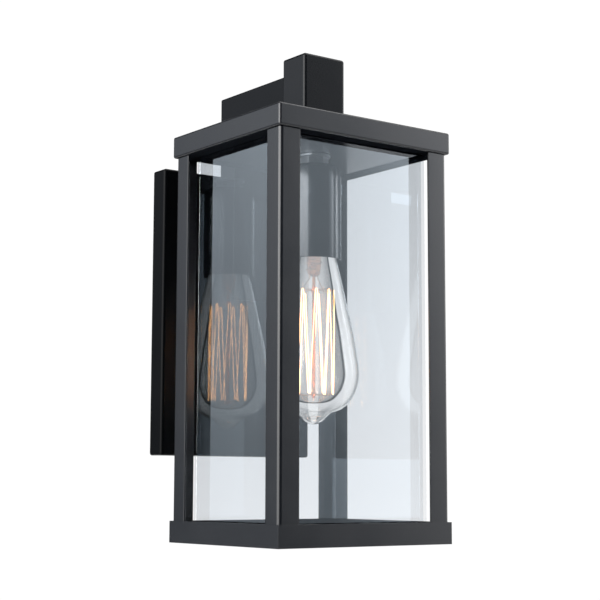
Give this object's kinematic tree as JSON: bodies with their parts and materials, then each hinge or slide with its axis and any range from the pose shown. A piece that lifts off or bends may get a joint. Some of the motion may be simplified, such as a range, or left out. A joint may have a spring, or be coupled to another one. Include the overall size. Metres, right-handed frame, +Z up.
{
  "type": "outdoor wall lantern",
  "caption": "Rectangular outdoor wall lantern with clear glass sides, hung from a square arm on a shallow wall box, with an exposed filament lamp inside.",
  "frame": {"origin": "middle of the mounting crossbar's rear face, on the wall plane", "axes": "+Z up, +Y into the wall, so the lantern stands out along -Y; +X is to the right for someone who faces the wall"},
  "size_m": [0.139, 0.1586, 0.3197],
  "materials": {
    "black_paint": "satin powder coat, charcoal black",
    "zinc_plated_steel": "bright zinc plate",
    "green_screw": "green passivated steel",
    "nickel_plated_brass": "plain brass",
    "solder": "dull tin solder",
    "foam": "matt closed-cell foam",
    "rubber": "matt",
    "pane_glass": "clear float glass, polished",
    "bulb_glass": "clear blown glass",
    "black_glass": "glossy fused glass",
    "porcelain": "white glaze",
    "black_sleeve": "extruded sleeve",
    "white_sleeve": "extruded sleeve",
    "green_sleeve": "extruded sleeve",
    "support_wire": "drawn molybdenum wire",
    "glowing_filament": "glowing carbon filament"
  },
  "bodies": {
    "lantern": {"wall_backplate": "black_paint", "drop_tube": "black_paint", "arm_tube": "black_paint", "roof_block": "black_paint", "roof_cap": "black_paint", "ceiling_tray": "black_paint", "base_ring": "black_paint", "socket_cup": "black_paint", "post_front_left": "black_paint", "post_front_right": "black_paint", "post_rear_left": "black_paint", "post_rear_right": "black_paint", "base_screw_front_left": "black_paint", "base_screw_front_right": "black_paint", "base_screw_rear_left": "black_paint", "base_screw_rear_right": "black_paint", "mounting_crossbar": "zinc_plated_steel", "lock_screw_top": "zinc_plated_steel", "lock_screw_bottom": "zinc_plated_steel", "tube_screw_low": "zinc_plated_steel", "tube_screw_high": "zinc_plated_steel", "weld_nut_low": "zinc_plated_steel", "weld_nut_high": "zinc_plated_steel", "arm_tongue": "zinc_plated_steel", "arm_set_screw": "zinc_plated_steel", "block_bridge": "zinc_plated_steel", "threaded_nipple": "zinc_plated_steel", "roof_washer": "zinc_plated_steel", "roof_nut": "zinc_plated_steel", "ceiling_washer": "zinc_plated_steel", "ceiling_nut": "zinc_plated_steel", "cup_jam_nut": "zinc_plated_steel", "holder_bracket": "zinc_plated_steel", "screw_shell": "nickel_plated_brass", "centre_contact": "nickel_plated_brass", "terminal_screw_left": "nickel_plated_brass", "terminal_screw_right": "nickel_plated_brass", "ground_screw": "green_screw", "wall_gasket": "foam", "wire_grommet": "rubber", "pane_front": "pane_glass", "pane_rear": "pane_glass", "pane_left": "pane_glass", "pane_right": "pane_glass", "lampholder_body": "porcelain", "live_lead": "black_sleeve", "neutral_lead": "white_sleeve", "earth_lead": "green_sleeve"},
    "lamp_contact": {"bulb_contact": "solder"},
    "lamp": {"bulb_envelope": "bulb_glass", "bulb_cap": "nickel_plated_brass", "bulb_insulator": "black_glass", "bulb_stem": "bulb_glass", "support_high": "support_wire", "support_low": "support_wire", "filament": "glowing_filament"}
  },
  "joints": [
    {"name": "bulb_screw_travel", "type": "slide", "parent": "lantern", "child": "lamp_contact", "axis": [0, 0, 1], "range_m": [-0.01815, 0]},
    {"name": "bulb_turn", "type": "hinge", "parent": "lamp_contact", "child": "lamp", "pos_m": [0, -0.1016, 0], "axis": [0, 0, 1], "range_deg": [-1800, 0]}
  ],
  "couplings": [
    {"joint": "bulb_screw_travel", "follows": "bulb_turn", "m_per_rad": 0.00057752}
  ]
}
